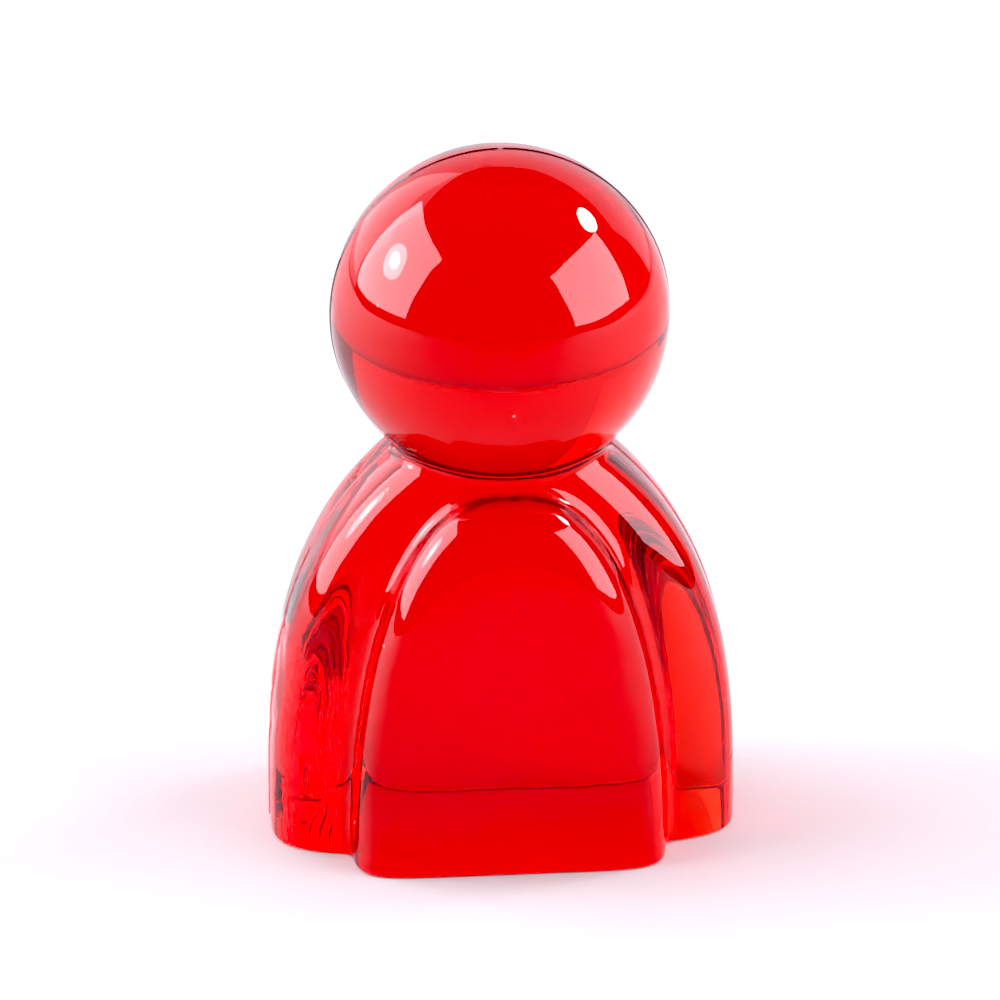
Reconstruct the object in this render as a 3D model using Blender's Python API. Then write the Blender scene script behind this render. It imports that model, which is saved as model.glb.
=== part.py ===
"""Clear red acrylic pawn shaped like a person: a ball head on an arched torso with two arms, moulded in one piece.

Metres, +Z up. The origin is the centre of the flat base, +X runs across the arms and the front faces -Y.
"""

from math import pi, radians, sin, tan

import bmesh
import bpy
import numpy as np

# Overall size
HEIGHT = 0.0250
HEAD_DIAMETER = 0.0119

# Arms and shoulders: one rounded slab with an arched outline, which would close over the neck at ARMS_APEX
ARMS_SPAN = 0.0169
ARMS_THICKNESS = 0.0074
ARMS_APEX = 0.0160

# Torso: a deeper arched block that stands proud of the slab at the front and at the back
TORSO_WIDTH = 0.0113
TORSO_DEPTH = 0.0114
TORSO_APEX = 0.0137

# Powers of the curves: sides and top of an arch, and its cross-section. A higher power is squarer
ARMS_POWERS = (1.5, 3.0, 4.2)
TORSO_POWERS = (2.4, 2.15, 8.0)

# Fillets, as the distance over which two surfaces blend
GROOVE_BLEND = 0.0005
NECK_BLEND = 0.0005

# Mesh: points round the pawn, and rings in each of its four stretches
SPOKES = 64
STRAIGHT_RINGS = 7
SHOULDER_RINGS = 17
NECK_RINGS = 9
HEAD_RINGS = 19
WAIST_TRIES = 60

HEAD_RADIUS = HEAD_DIAMETER / 2
HEAD_CENTRE = HEIGHT - HEAD_RADIUS
STRAIGHT_HEIGHT = 0.26 * HEIGHT
SHOULDER_ANGLE = radians(60)

RED_ACRYLIC = (0.80, 0.003, 0.006, 1.0)
ACRYLIC_ROUGHNESS = 0.04
ACRYLIC_IOR = 1.49

SOLVER_STEPS = 40
GRADIENT_STEP = 1e-7
LEAST_GRADIENT = 1e-3


def clear_scene():
    for obj in list(bpy.data.objects):
        bpy.data.objects.remove(obj, do_unlink=True)


def arched_block(points, width, depth, apex, powers):
    """Negative inside an arch that is rounded from front to back, zero on its surface."""
    side_power, top_power, section_power = powers
    x, y, z = np.abs(points)
    arch = (x / (width / 2)) ** side_power + (z / apex) ** top_power
    section = arch ** (section_power / side_power) + (y / (depth / 2)) ** section_power
    return section ** (1 / section_power) - 1


def arms(points):
    return arched_block(points, ARMS_SPAN, ARMS_THICKNESS, ARMS_APEX, ARMS_POWERS)


def torso(points):
    return arched_block(points, TORSO_WIDTH, TORSO_DEPTH, TORSO_APEX, TORSO_POWERS)


def distance_to(field, points):
    """The field's value divided by its slope, which near the surface is the distance to it."""
    slopes = []
    for axis in range(3):
        step = np.zeros((3, 1))
        step[axis] = GRADIENT_STEP
        slopes.append((field(points + step) - field(points - step)) / (2 * GRADIENT_STEP))
    steepness = np.sqrt(sum(slope**2 for slope in slopes))
    return field(points) / np.maximum(steepness, LEAST_GRADIENT)


def blend(first, second, size):
    """Union of two solids with a fillet between them."""
    overlap = np.maximum(size - np.abs(first - second), 0)
    return np.minimum(first, second) - overlap**2 / (4 * size)


def pawn_distance(points):
    """Negative inside the pawn. points has one column for each point."""
    body = blend(distance_to(arms, points), distance_to(torso, points), GROOVE_BLEND)
    centre = np.array([[0], [0], [HEAD_CENTRE]])
    head = np.linalg.norm(points - centre, axis=0) - HEAD_RADIUS
    return blend(body, head, NECK_BLEND)


def ray_points(starts, angles, lengths):
    """Ends of the spokes' rays, which start at these heights on the axis and rise at these angles."""
    turns = 2 * pi * np.arange(SPOKES) / SPOKES
    across = np.cos(angles) * lengths
    return np.array([across * np.cos(turns), across * np.sin(turns), starts + np.sin(angles) * lengths])


def skin_points(starts, angles, limits):
    """Where each spoke's ray leaves the pawn, before these lengths, which end outside it."""
    inside = np.zeros(SPOKES)
    outside = np.zeros(SPOKES) + limits
    for _ in range(SOLVER_STEPS):
        middle = (inside + outside) / 2
        within = pawn_distance(ray_points(starts, angles, middle)) < 0
        inside = np.where(within, middle, inside)
        outside = np.where(within, outside, middle)
    return ray_points(starts, angles, inside)


def neck_hollow():
    """(radius, height) on each spoke of a point just outside the waist between shoulders and head."""
    heights = np.linspace(HEAD_CENTRE - HEAD_RADIUS, HEAD_CENTRE - HEAD_RADIUS / 2, WAIST_TRIES)
    level = np.zeros(SPOKES)
    radii = np.array([np.hypot(*skin_points(height, level, ARMS_SPAN)[:2]) for height in heights])
    return radii.min(axis=0) + NECK_BLEND, heights[radii.argmin(axis=0)]


def skin_rings():
    """Points of the skin, ring by ring from the base to just under the crown."""
    level = np.zeros(SPOKES)
    rings = [skin_points(z, level, ARMS_SPAN) for z in np.linspace(0, STRAIGHT_HEIGHT, STRAIGHT_RINGS)[:-1]]
    radius, height = neck_hollow()
    below_neck = height - radius * tan(SHOULDER_ANGLE)
    for share in np.linspace(0, 1, SHOULDER_RINGS)[1:]:
        starts = STRAIGHT_HEIGHT + (below_neck - STRAIGHT_HEIGHT) * share
        angle = SHOULDER_ANGLE * share
        rings.append(skin_points(starts, level + angle, np.minimum((height - starts) / sin(angle), ARMS_SPAN)))
    under_head = np.arctan2(height - HEAD_CENTRE, radius)
    for share in np.linspace(0, 1, NECK_RINGS)[1:-1]:
        angles = SHOULDER_ANGLE + (under_head - SHOULDER_ANGLE) * share
        rings.append(skin_points(height - radius * np.tan(angles), angles, radius / np.cos(angles)))
    hollow_distance = np.hypot(radius, height - HEAD_CENTRE)
    for share in np.linspace(0, 1, HEAD_RINGS)[:-1]:
        angles = under_head + (pi / 2 - under_head) * share
        rings.append(skin_points(HEAD_CENTRE, angles, hollow_distance))
    return rings


def pawn_mesh():
    mesh = bpy.data.meshes.new("pawn")
    shape = bmesh.new()
    rings = []
    for points in skin_rings():
        rings.append([shape.verts.new(point) for point in points.T])
    crown = shape.verts.new((0, 0, HEIGHT))
    shape.faces.new(reversed(rings[0]))
    for lower, upper in zip(rings, rings[1:]):
        for near in range(SPOKES):
            far = (near + 1) % SPOKES
            shape.faces.new((lower[near], lower[far], upper[far], upper[near]))
    for near in range(SPOKES):
        shape.faces.new((rings[-1][near], rings[-1][(near + 1) % SPOKES], crown))
    shape.to_mesh(mesh)
    shape.free()
    mesh.shade_smooth()
    mesh.set_sharp_from_angle(angle=radians(50))
    return mesh


def red_acrylic():
    material = bpy.data.materials.new("red_acrylic")
    material.use_nodes = True
    shader = material.node_tree.nodes["Principled BSDF"]
    shader.inputs["Base Color"].default_value = RED_ACRYLIC
    shader.inputs["Roughness"].default_value = ACRYLIC_ROUGHNESS
    shader.inputs["Metallic"].default_value = 0.0
    shader.inputs["IOR"].default_value = ACRYLIC_IOR
    shader.inputs["Transmission Weight"].default_value = 1.0
    material.diffuse_color = RED_ACRYLIC
    return material


def build():
    clear_scene()
    pawn = bpy.data.objects.new("pawn", pawn_mesh())
    pawn.data.materials.append(red_acrylic())
    bpy.context.scene.collection.objects.link(pawn)


build()
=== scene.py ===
"""Looks of the clear red acrylic pawn: its polished, slightly wavy skin, and the light that shows it."""

from math import cos, pi, radians, sin, tan

import bpy
import numpy as np
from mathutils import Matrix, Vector


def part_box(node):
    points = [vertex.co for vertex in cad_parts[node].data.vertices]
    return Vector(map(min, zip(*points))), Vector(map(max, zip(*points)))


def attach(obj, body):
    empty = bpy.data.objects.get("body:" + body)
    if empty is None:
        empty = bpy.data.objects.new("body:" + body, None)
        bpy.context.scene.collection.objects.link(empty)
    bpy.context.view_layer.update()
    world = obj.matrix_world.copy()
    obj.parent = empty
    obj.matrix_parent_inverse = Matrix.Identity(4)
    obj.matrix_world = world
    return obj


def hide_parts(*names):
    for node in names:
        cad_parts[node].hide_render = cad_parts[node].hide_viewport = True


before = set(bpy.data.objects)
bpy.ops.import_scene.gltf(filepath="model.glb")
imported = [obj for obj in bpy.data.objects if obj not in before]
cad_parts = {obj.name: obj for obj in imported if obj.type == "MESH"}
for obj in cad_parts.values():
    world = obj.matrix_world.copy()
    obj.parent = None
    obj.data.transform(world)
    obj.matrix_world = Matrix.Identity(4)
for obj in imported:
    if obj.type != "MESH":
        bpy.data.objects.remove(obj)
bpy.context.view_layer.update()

# The mould's parting line stands proud of the nominal surface, which is inset to stay in the CAD box
RIDGE_HEIGHT = 0.00004
RIDGE_WIDTH = 0.00007

# Driving dimensions, from the CAD node's box
pawn_low, pawn_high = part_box("pawn")
HEIGHT = pawn_high.z - pawn_low.z - RIDGE_HEIGHT
ARMS_SPAN = pawn_high.x - pawn_low.x - 2 * RIDGE_HEIGHT
HEAD_RADIUS = (pawn_high.y - pawn_low.y) / 2
HEAD_CENTRE = HEIGHT - HEAD_RADIUS

# The rest of the nominal shape, as in the CAD
ARMS_THICKNESS = 0.0074
ARMS_APEX = 0.0160
TORSO_WIDTH = 0.0113
TORSO_DEPTH = 0.0114
TORSO_APEX = 0.0137
ARMS_POWERS = (1.5, 3.0, 4.2)
TORSO_POWERS = (2.4, 2.15, 8.0)
GROOVE_BLEND = 0.0005
NECK_BLEND = 0.0005
BASE_EDGE_RADIUS = 0.00012

# Ripples: two trains of crossed waves, each with its share, then the direction and phase of either wave
RIPPLE_TRAINS = (
    (1.0, (1.0, 0.0, 0.7), 1, (0.0, 0.8, -0.4), 2),
    (0.6, (0.5, 1.7, 0.0), -3, (0.6, 0.0, 1.3), 1),
)

# Waves that the mould and the shrinking plastic leave in the polished skin
LONG_WAVE_HEIGHT = 0.000010
LONG_WAVE_LENGTH = 0.0044
SHORT_WAVE_HEIGHT = 0.0000022
SHORT_WAVE_LENGTH = 0.0015

# The gate's broken-off stub, low on the outer side of one arm, with a pressed ring and wrinkles round it.
# The stub's relief fades out over the outer part of its radius, a narrower part at a higher steepness
GATE_HEIGHT = 0.0057
GATE_RADIUS = 0.0009
GATE_RELIEF = 0.00006
GATE_STEEPNESS = 1.5
GRAIN_LENGTH = 0.00055
RING_RADIUS = 0.0019
RING_WIDTH = 0.0003
RING_DEPTH = 0.00004
WRINKLE_REACH = 0.0042
WRINKLE_HEIGHT = 0.000007
WRINKLE_LENGTH = 0.0008

# The flow line where the plastic met at the top of the torso's arch
KNIT_HEIGHT = 0.0129
KNIT_REACH = 0.0011
KNIT_WIDTH = 0.00018
KNIT_DEPTH = 0.00005

# Mesh: spokes in a quarter turn, closest at the parting line, and rings in each stretch
RIDGE_TURN = 0.03
RIDGE_SPOKES = 8
ARM_TURN = 0.16
ARM_SPOKES = 14
QUARTER_SPOKES = 64
BASE_RINGS = 6
LOW_RINGS = 20
GATE_RINGS = 26
SHOULDER_RINGS = 84
NECK_RINGS = 34
HEAD_RINGS = 96
WAIST_TRIES = 120
STRAIGHT_SHARE = 0.28
SHOULDER_ANGLE = radians(60)
SOLVER_STEPS = 28
GRADIENT_STEP = 1e-7
LEAST_GRADIENT = 1e-3
SHARP_ANGLE = radians(50)

# Acrylic: tints of its surface, and how its depth swallows green and blue
ACRYLIC_IOR = 1.49
TINT_DEEP = (0.93, 0.28, 0.13, 1)
TINT_CLEAR = (0.97, 0.34, 0.16, 1)
TINT_SCALE = 90
ABSORPTION_COLOUR = (0.958, 0.34, 0.14, 1)
ABSORPTION_DENSITY = 620

# Its polish, with faint smudges where a noise rises through SMUDGE_LEVELS
POLISH_ROUGHNESS = 0.008
SMUDGE_ROUGHNESS = 0.035
SMUDGE_SCALE = 260
SMUDGE_DETAIL = 4.0
SMUDGE_UNEVENNESS = 0.6
SMUDGE_LEVELS = (0.48, 0.75)

# Hair-thin scratches in patches: turn and scale of each run, whose noise is drawn out along two axes
SCRATCH_RUNS = (((0.3, 0.2, 0.5), 420), ((1.2, 0.7, 2.1), 520))
SCRATCH_STRETCH = (1.0, 0.04, 0.04)
SCRATCH_WIDTH = 0.008
SCRATCH_PATCH_LEVELS = (0.55, 0.66)
SCRATCH_PATCH_SIZE = 3
SCRATCH_ROUGHNESS = 0.16
SCRATCH_DEPTH = 0.0000012

# Grains of dust: cells to a metre, the share of them that stay clean, and a grain's size within its cell
DUST_SCALE = 900
DUST_FREE_SHARE = (0.955, 0.965)
DUST_SIZE = (0.03, 0.09)
DUST_TINT = (0.80, 0.42, 0.40, 1)
DUST_ROUGHNESS = 0.5
DUST_COVER = 0.6

# Torn surface of the gate's stub, which fades out between these shares of its radius
GATE_EDGE = (0.6, 1.15)
GATE_TINT = (0.92, 0.45, 0.42, 1)
GATE_ROUGHNESS = 0.20
GATE_GRAIN_SCALE = 4200
GATE_GRAIN_HEIGHT = 0.000025

# Floor and room. The walls darken from the horizon up to WALL_TOP, as the sine of the elevation
FLOOR_REACH = 6.0
FLOOR_GAP = 0.00002
FLOOR_ALBEDO = 0.55
FLOOR_ROUGHNESS = 0.6
WALL_COLOUR = (0.36, 0.34, 0.40, 1)
ROOF_COLOUR = (0.03, 0.03, 0.045, 1)
WALL_TOP = 0.75
DAYLIGHT = (0.97, 0.93, 1.0)

# Lights, which face the head: shape, degrees round from +X, degrees up, distance, (width, height), radiance.
# The ceiling lights the pawn and the floor without showing in the polish
LIGHTS = {
    "left_window": ("RECTANGLE", 172.5, 26.5, 0.60, (0.625, 0.52), 6.5),
    "left_glow": ("ELLIPSE", 170.8, 25.6, 0.56, (0.20, 0.17), 7.6),
    "left_glow_middle": ("ELLIPSE", 170.8, 25.6, 0.54, (0.10, 0.085), 9.5),
    "left_wall": ("RECTANGLE", 127.5, 25.6, 0.62, (0.36, 0.52), 1.3),
    "right_window": ("RECTANGLE", -20.0, 22.5, 0.60, (0.56, 0.42), 6.5),
    "back_wall": ("RECTANGLE", 90.0, 21.9, 0.86, (2.6, 0.8), 0.92),
    "lamp": ("ELLIPSE", 18.0, 41.9, 0.59, (0.16, 0.12), 30.0),
    "ceiling": ("RECTANGLE", 0.0, 90.0, 1.18, (1.6, 1.6), 0.9),
}
LIGHT_BOUNCES = 32

# Tones: the levels that come out black and white, for each of red, green and blue
BLACK_LEVEL = (0.030, 0.046, 0.040)
WHITE_LEVEL = (0.92, 0.92, 0.92)

# Camera: degrees round from the front towards +X, degrees up, and what it looks at
CAMERA_TURN = -5
CAMERA_RISE = 21
CAMERA_DISTANCE = 0.148
CAMERA_TARGET = (0, 0, 0.0120)
CAMERA_LENS = 150
CAMERA_CLIP = 0.005


def spoke_turns():
    """Angles of the spokes round the axis, from +X."""
    near = np.linspace(0, RIDGE_TURN, RIDGE_SPOKES, endpoint=False)
    arm = np.linspace(RIDGE_TURN, ARM_TURN, ARM_SPOKES, endpoint=False)
    quarter = np.concatenate([near, arm, np.linspace(ARM_TURN, pi / 2, QUARTER_SPOKES)])
    half = np.concatenate([quarter, (pi - quarter[::-1])[1:-1]])
    return np.concatenate([half, half + pi])


TURNS = spoke_turns()


def arched_block(points, width, depth, apex, powers):
    """Negative inside an arch that is rounded from front to back, zero on its surface."""
    side_power, top_power, section_power = powers
    x, y, z = np.abs(points)
    arch = (x / (width / 2)) ** side_power + (z / apex) ** top_power
    section = arch ** (section_power / side_power) + (y / (depth / 2)) ** section_power
    return section ** (1 / section_power) - 1


def arms(points):
    return arched_block(points, ARMS_SPAN, ARMS_THICKNESS, ARMS_APEX, ARMS_POWERS)


def torso(points):
    return arched_block(points, TORSO_WIDTH, TORSO_DEPTH, TORSO_APEX, TORSO_POWERS)


def distance_to(field, points):
    """The field's value divided by its slope, which near the surface is the distance to it."""
    slopes = []
    for axis in range(3):
        step = np.zeros((3, 1))
        step[axis] = GRADIENT_STEP
        slopes.append((field(points + step) - field(points - step)) / (2 * GRADIENT_STEP))
    steepness = np.sqrt(sum(slope**2 for slope in slopes))
    return field(points) / np.maximum(steepness, LEAST_GRADIENT)


def blend(first, second, size):
    """Union of two solids with a fillet between them."""
    overlap = np.maximum(size - np.abs(first - second), 0)
    return np.minimum(first, second) - overlap**2 / (4 * size)


def ripple(points, length, seed):
    """Smooth irregular waves of about this length, between -1 and 1."""
    turned = points * (2 * pi / length)
    total = 0
    for share, first_way, first_phase, second_way, second_phase in RIPPLE_TRAINS:
        first = np.sin(np.dot(first_way, turned) + first_phase * seed)
        total = total + share * first * np.cos(np.dot(second_way, turned) + second_phase * seed)
    return total / sum(train[0] for train in RIPPLE_TRAINS)


def waves(points):
    """Height of the shallow waves, never above the nominal surface."""
    long_waves = LONG_WAVE_HEIGHT * (ripple(points, LONG_WAVE_LENGTH, seed=1.3) - 1)
    return long_waves + SHORT_WAVE_HEIGHT * (ripple(points, SHORT_WAVE_LENGTH, seed=0.4) - 1)


def ridge(points):
    """Height of the parting line, which runs over the head and down the arms."""
    return RIDGE_HEIGHT * np.exp(-((points[1] / RIDGE_WIDTH) ** 2))


def gate_mark(points):
    """Height of the rough stub, the ring round it and the wrinkles, on the arm at -X."""
    distance = np.hypot(points[1], points[2] - GATE_HEIGHT)
    on_arm = points[0] < -ARMS_SPAN / 4
    stub = np.clip(GATE_STEEPNESS * (1 - distance / GATE_RADIUS), 0, 1)
    grain = GATE_RELIEF * stub * (ripple(points, GRAIN_LENGTH, seed=2.2) - 1)
    ring = RING_DEPTH * np.exp(-(((distance - RING_RADIUS) / RING_WIDTH) ** 2))
    reach = np.exp(-((distance / WRINKLE_REACH) ** 2))
    wrinkles = WRINKLE_HEIGHT * reach * (ripple(points, WRINKLE_LENGTH, seed=0.9) - 1)
    return np.where(on_arm, grain - ring + wrinkles, 0)


def knit_line(points):
    """Depth of the flow line at the top of the arch, on the front only."""
    across = np.exp(-((points[0] / KNIT_WIDTH) ** 2))
    along = np.exp(-(((points[2] - KNIT_HEIGHT) / KNIT_REACH) ** 2))
    return np.where(points[1] < 0, KNIT_DEPTH * across * along, 0)


def base_inset(points):
    """How far the rounded edge of the base draws the skin in."""
    above = np.clip(points[2] / BASE_EDGE_RADIUS, 0, 1)
    return BASE_EDGE_RADIUS * (1 - np.sqrt(1 - (1 - above) ** 2))


def pawn_distance(points):
    """Negative inside the pawn. points has one column for each point."""
    body = blend(distance_to(arms, points), distance_to(torso, points), GROOVE_BLEND)
    centre = np.array([[0], [0], [HEAD_CENTRE]])
    head = np.linalg.norm(points - centre, axis=0) - HEAD_RADIUS
    nominal = blend(body, head, NECK_BLEND)
    marks = ridge(points) + waves(points) + gate_mark(points) - knit_line(points)
    return nominal - marks + base_inset(points)


def ray_points(starts, angles, lengths):
    """Ends of the spokes' rays, which start at these heights on the axis and rise at these angles."""
    across = np.cos(angles) * lengths
    return np.array([across * np.cos(TURNS), across * np.sin(TURNS), starts + np.sin(angles) * lengths])


def skin_points(starts, angles, limits):
    """Where each spoke's ray leaves the pawn, before these lengths, which end outside it."""
    inside = np.zeros(len(TURNS))
    outside = np.zeros(len(TURNS)) + limits
    for _ in range(SOLVER_STEPS):
        middle = (inside + outside) / 2
        within = pawn_distance(ray_points(starts, angles, middle)) < 0
        inside = np.where(within, middle, inside)
        outside = np.where(within, outside, middle)
    return ray_points(starts, angles, inside)


def neck_hollow():
    """(radius, height) on each spoke of a point just outside the waist between shoulders and head."""
    heights = np.linspace(HEAD_CENTRE - HEAD_RADIUS, HEAD_CENTRE - HEAD_RADIUS / 2, WAIST_TRIES)
    level = np.zeros(len(TURNS))
    radii = np.array([np.hypot(*skin_points(height, level, ARMS_SPAN)[:2]) for height in heights])
    return radii.min(axis=0) + NECK_BLEND, heights[radii.argmin(axis=0)]


def skin_rings():
    """Points of the skin, ring by ring from the base to just under the crown."""
    level = np.zeros(len(TURNS))
    edge = BASE_EDGE_RADIUS * (1 - np.cos(np.linspace(0, pi / 2, BASE_RINGS)))
    gate_bottom = GATE_HEIGHT - GATE_RADIUS
    low = np.linspace(BASE_EDGE_RADIUS, gate_bottom, LOW_RINGS, endpoint=False)
    straight_height = STRAIGHT_SHARE * HEIGHT
    gate = np.linspace(gate_bottom, straight_height, GATE_RINGS, endpoint=False)
    rings = [skin_points(z, level, ARMS_SPAN) for z in np.concatenate([edge[:-1], low, gate])]
    radius, height = neck_hollow()
    below_neck = height - radius * tan(SHOULDER_ANGLE)
    for share in np.linspace(0, 1, SHOULDER_RINGS)[1:]:
        starts = straight_height + (below_neck - straight_height) * share
        angle = SHOULDER_ANGLE * share
        limits = np.minimum((height - starts) / sin(angle), ARMS_SPAN)
        rings.append(skin_points(starts, level + angle, limits))
    under_head = np.arctan2(height - HEAD_CENTRE, radius)
    for share in np.linspace(0, 1, NECK_RINGS)[1:-1]:
        angles = SHOULDER_ANGLE + (under_head - SHOULDER_ANGLE) * share
        rings.append(skin_points(height - radius * np.tan(angles), angles, radius / np.cos(angles)))
    hollow_distance = np.hypot(radius, height - HEAD_CENTRE)
    for share in np.linspace(0, 1, HEAD_RINGS)[:-1]:
        angles = under_head + (pi / 2 - under_head) * share
        rings.append(skin_points(HEAD_CENTRE, angles, hollow_distance))
    return rings


def pawn_mesh():
    """The rings joined into one closed skin, with a flat base and a crown."""
    rings = skin_rings()
    spokes = len(TURNS)
    crown = np.array([[0], [0], [rings[-1][2].mean()]])
    points = np.concatenate([*rings, crown], axis=1).T
    near = np.arange(spokes)
    far = (near + 1) % spokes
    faces = [near[::-1].tolist()]
    for ring in range(len(rings) - 1):
        low, high = ring * spokes, (ring + 1) * spokes
        faces += np.array([low + near, low + far, high + far, high + near]).T.tolist()
    last = (len(rings) - 1) * spokes
    faces += np.array([last + near, last + far, np.full(spokes, len(points) - 1)]).T.tolist()
    mesh = bpy.data.meshes.new("pawn_skin")
    mesh.from_pydata(points.tolist(), [], faces)
    mesh.shade_smooth()
    mesh.set_sharp_from_angle(angle=SHARP_ANGLE)
    return mesh


class Graph:
    """Small helpers that add shader nodes and join them."""

    def __init__(self, material):
        material.use_nodes = True
        self.nodes = material.node_tree.nodes
        self.links = material.node_tree.links
        self.shader = self.nodes["Principled BSDF"]
        self.place = self.add("ShaderNodeTexCoord").outputs["Object"]

    def add(self, kind, inputs=None, **settings):
        node = self.nodes.new(kind)
        for name, value in settings.items():
            setattr(node, name, value)
        for socket, value in (inputs or {}).items():
            if isinstance(value, bpy.types.NodeSocket):
                self.links.new(value, node.inputs[socket])
            else:
                node.inputs[socket].default_value = value
        return node

    def noise(self, scale, detail=2.0, roughness=0.5, place=None):
        settings = {"Vector": place or self.place, "Scale": scale, "Detail": detail, "Roughness": roughness}
        return self.add("ShaderNodeTexNoise", settings).outputs["Fac"]

    def between(self, value, low, high, to_low=0.0, to_high=1.0):
        """The value mapped smoothly from one range to another, and held at its ends."""
        settings = {"Value": value, "From Min": low, "From Max": high, "To Min": to_low, "To Max": to_high}
        return self.add("ShaderNodeMapRange", settings, interpolation_type="SMOOTHSTEP").outputs["Result"]

    def maths(self, operation, first, second):
        return self.add("ShaderNodeMath", {0: first, 1: second}, operation=operation).outputs["Value"]

    def colours(self, share, first, second):
        mix = self.add("ShaderNodeMix", {"Factor": share}, data_type="RGBA")
        for socket, value in (("A", first), ("B", second)):
            target = next(entry for entry in mix.inputs if entry.name == socket and entry.type == "RGBA")
            if isinstance(value, bpy.types.NodeSocket):
                self.links.new(value, target)
            else:
                target.default_value = value
        return next(entry for entry in mix.outputs if entry.type == "RGBA")

    def stretched(self, turn, size):
        """The object's coordinates turned and stretched, for scratches that run along one way."""
        settings = {"Vector": self.place, "Rotation": turn, "Scale": size}
        return self.add("ShaderNodeMapping", settings).outputs["Vector"]


def near_gate(graph):
    """1 on the gate's stub, 0 beyond it."""
    centre = (-ARMS_SPAN / 2, 0, GATE_HEIGHT)
    gap = graph.add("ShaderNodeVectorMath", {0: graph.place, 1: centre}, operation="DISTANCE")
    inner, outer = GATE_EDGE
    return graph.between(gap.outputs["Value"], inner * GATE_RADIUS, outer * GATE_RADIUS, 1.0, 0.0)


def scratches(graph):
    """1 on a few hair-thin handling scratches."""
    marks = 0.0
    for turn, scale in SCRATCH_RUNS:
        fine = graph.noise(scale, detail=0.0, roughness=0.0, place=graph.stretched(turn, SCRATCH_STRETCH))
        offset = graph.maths("ABSOLUTE", graph.maths("SUBTRACT", fine, 0.5), 0.0)
        line = graph.between(offset, 0.0, SCRATCH_WIDTH, 1.0, 0.0)
        patches = graph.between(graph.noise(scale / SCRATCH_PATCH_SIZE, detail=1.0), *SCRATCH_PATCH_LEVELS)
        marks = graph.maths("MAXIMUM", marks, graph.maths("MULTIPLY", line, patches))
    return marks


def specks(graph):
    """1 on sparse grains of dust."""
    cells = graph.add("ShaderNodeTexVoronoi", {"Vector": graph.place, "Scale": DUST_SCALE, "Randomness": 1.0})
    chance = graph.add("ShaderNodeSeparateColor", {"Color": cells.outputs["Color"]}).outputs["Red"]
    grain = graph.between(cells.outputs["Distance"], *DUST_SIZE, 1.0, 0.0)
    return graph.maths("MULTIPLY", grain, graph.between(chance, *DUST_FREE_SHARE))


def skin_roughness(graph, gate, dust, scratched):
    """Roughness of the polish, higher on smudges, scratches, dust and the gate's stub."""
    smudges = graph.noise(SMUDGE_SCALE, SMUDGE_DETAIL, SMUDGE_UNEVENNESS)
    total = graph.between(smudges, *SMUDGE_LEVELS, POLISH_ROUGHNESS, SMUDGE_ROUGHNESS)
    for mask, extra in ((scratched, SCRATCH_ROUGHNESS), (gate, GATE_ROUGHNESS), (dust, DUST_ROUGHNESS)):
        total = graph.maths("ADD", total, graph.maths("MULTIPLY", mask, extra))
    return total


def skin_tint(graph, gate, dust):
    """Colour of the surface: slightly uneven red, paler on the gate's stub and on dust."""
    tint = graph.colours(graph.noise(TINT_SCALE), TINT_DEEP, TINT_CLEAR)
    return graph.colours(dust, graph.colours(gate, tint, GATE_TINT), DUST_TINT)


def skin_relief(graph, gate, scratched):
    """Normals bent by the finest relief, which the mesh is too coarse for."""
    torn = graph.maths("MULTIPLY", gate, GATE_GRAIN_HEIGHT)
    grain = graph.maths("MULTIPLY", graph.noise(GATE_GRAIN_SCALE), torn)
    height = graph.maths("SUBTRACT", grain, graph.maths("MULTIPLY", scratched, SCRATCH_DEPTH))
    return graph.add("ShaderNodeBump", {"Height": height, "Distance": 1.0}).outputs["Normal"]


def red_acrylic():
    material = bpy.data.materials.new("red_acrylic")
    graph = Graph(material)
    shader, links = graph.shader, graph.links
    gate = near_gate(graph)
    dust = specks(graph)
    scratched = scratches(graph)
    clear = graph.maths("SUBTRACT", 1.0, graph.maths("MULTIPLY", dust, DUST_COVER))
    links.new(skin_tint(graph, gate, dust), shader.inputs["Base Color"])
    links.new(skin_roughness(graph, gate, dust, scratched), shader.inputs["Roughness"])
    links.new(clear, shader.inputs["Transmission Weight"])
    links.new(skin_relief(graph, gate, scratched), shader.inputs["Normal"])
    shader.inputs["IOR"].default_value = ACRYLIC_IOR
    depth = graph.add("ShaderNodeVolumeAbsorption")
    depth.inputs["Color"].default_value = ABSORPTION_COLOUR
    depth.inputs["Density"].default_value = ABSORPTION_DENSITY
    links.new(depth.outputs["Volume"], graph.nodes["Material Output"].inputs["Volume"])
    return material


def pale_floor():
    mesh = bpy.data.meshes.new("floor")
    corners = [(x * FLOOR_REACH, y * FLOOR_REACH, 0) for x, y in ((-1, -1), (1, -1), (1, 1), (-1, 1))]
    mesh.from_pydata(corners, [], [(0, 1, 2, 3)])
    floor = bpy.data.objects.new("floor", mesh)
    floor.location.z = pawn_low.z - FLOOR_GAP
    material = bpy.data.materials.new("pale_floor")
    material.use_nodes = True
    shader = material.node_tree.nodes["Principled BSDF"]
    shader.inputs["Base Color"].default_value = (FLOOR_ALBEDO, FLOOR_ALBEDO, FLOOR_ALBEDO, 1)
    shader.inputs["Roughness"].default_value = FLOOR_ROUGHNESS
    mesh.materials.append(material)
    bpy.context.scene.collection.objects.link(floor)


def aimed(obj, place, target):
    obj.location = place
    obj.rotation_euler = (Vector(target) - Vector(place)).to_track_quat("-Z", "Y").to_euler()
    bpy.context.scene.collection.objects.link(obj)


def direction(turn, rise):
    """Unit vector at these degrees round from +X and up from the floor."""
    turn, rise = radians(turn), radians(rise)
    return Vector((cos(turn) * cos(rise), sin(turn) * cos(rise), sin(rise)))


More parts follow.
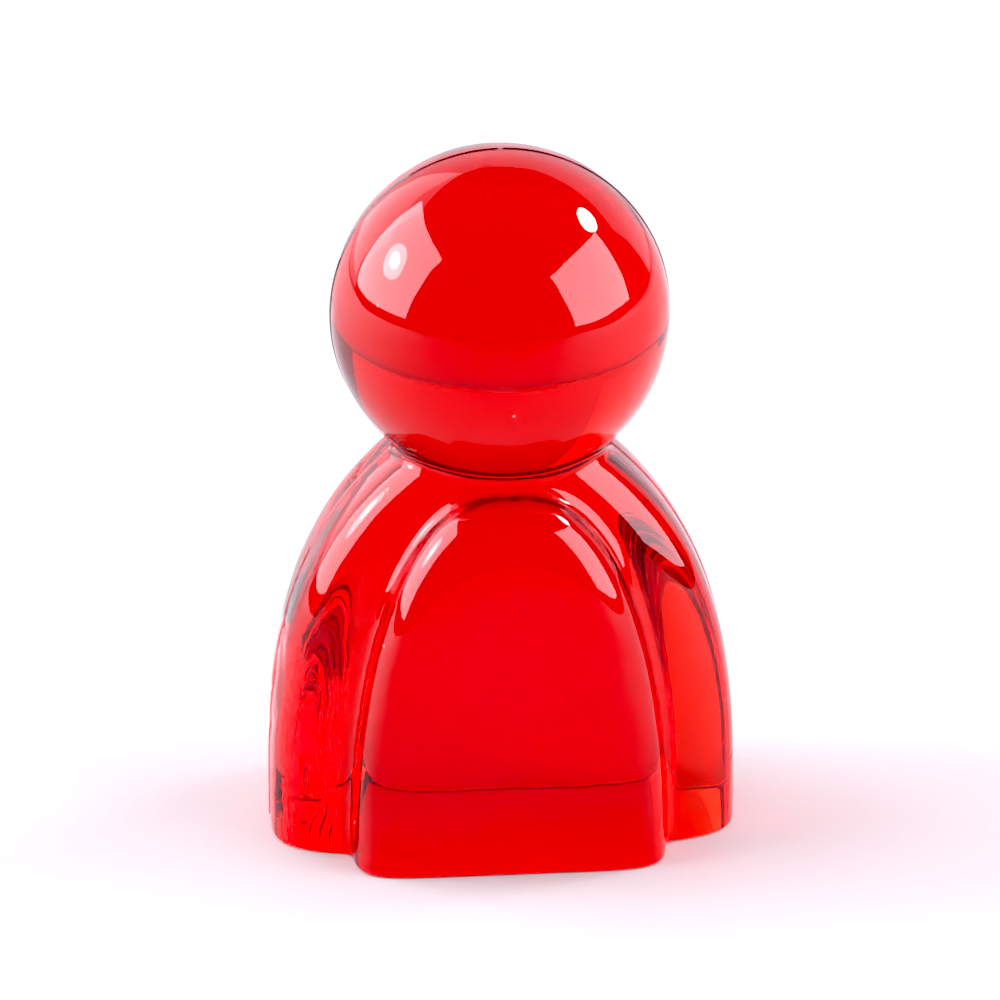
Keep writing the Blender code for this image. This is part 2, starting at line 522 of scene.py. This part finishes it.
def lights():
    head = Vector((0, 0, HEAD_CENTRE))
    for name, (shape, turn, rise, distance, size, radiance) in LIGHTS.items():
        light = bpy.data.lights.new(name, "AREA")
        light.shape = shape
        light.size, light.size_y = size
        area = size[0] * size[1] * (pi / 4 if shape == "ELLIPSE" else 1)
        light.energy = radiance * area * pi
        light.color = DAYLIGHT
        light_object = bpy.data.objects.new(name, light)
        light_object.visible_glossy = name != "ceiling"
        aimed(light_object, head + direction(turn, rise) * distance, head)


def walls():
    """The room around: grey at the horizon, darker above."""
    world = bpy.data.worlds.new("room")
    bpy.context.scene.world = world
    world.use_nodes = True
    nodes, links = world.node_tree.nodes, world.node_tree.links
    way = nodes.new("ShaderNodeSeparateXYZ")
    links.new(nodes.new("ShaderNodeTexCoord").outputs["Generated"], way.inputs["Vector"])
    shades = nodes.new("ShaderNodeValToRGB")
    links.new(way.outputs["Z"], shades.inputs["Fac"])
    horizon, roof = shades.color_ramp.elements
    horizon.color = WALL_COLOUR
    roof.position = WALL_TOP
    roof.color = ROOF_COLOUR
    links.new(shades.outputs["Color"], nodes["Background"].inputs["Color"])


def camera():
    lens = bpy.data.cameras.new("camera")
    lens.lens = CAMERA_LENS
    lens.clip_start = CAMERA_CLIP
    target = Vector(CAMERA_TARGET)
    place = target + direction(CAMERA_TURN - 90, CAMERA_RISE) * CAMERA_DISTANCE
    camera_object = bpy.data.objects.new("camera", lens)
    aimed(camera_object, place, target)
    bpy.context.scene.camera = camera_object


def tones():
    """Contrast of the picture, and enough bounces for light to cross the pawn."""
    scene = bpy.context.scene
    scene.view_settings.view_transform = "Standard"
    scene.view_settings.use_curve_mapping = True
    scene.view_settings.curve_mapping.black_level = BLACK_LEVEL
    scene.view_settings.curve_mapping.white_level = WHITE_LEVEL
    scene.cycles.max_bounces = LIGHT_BOUNCES
    scene.cycles.transmission_bounces = LIGHT_BOUNCES
    scene.cycles.glossy_bounces = LIGHT_BOUNCES


camera()
walls()
lights()
tones()
pale_floor()
skin = bpy.data.objects.new("pawn_skin", pawn_mesh())
skin.data.materials.append(red_acrylic())
bpy.context.scene.collection.objects.link(skin)
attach(skin, "root")
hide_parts("pawn")
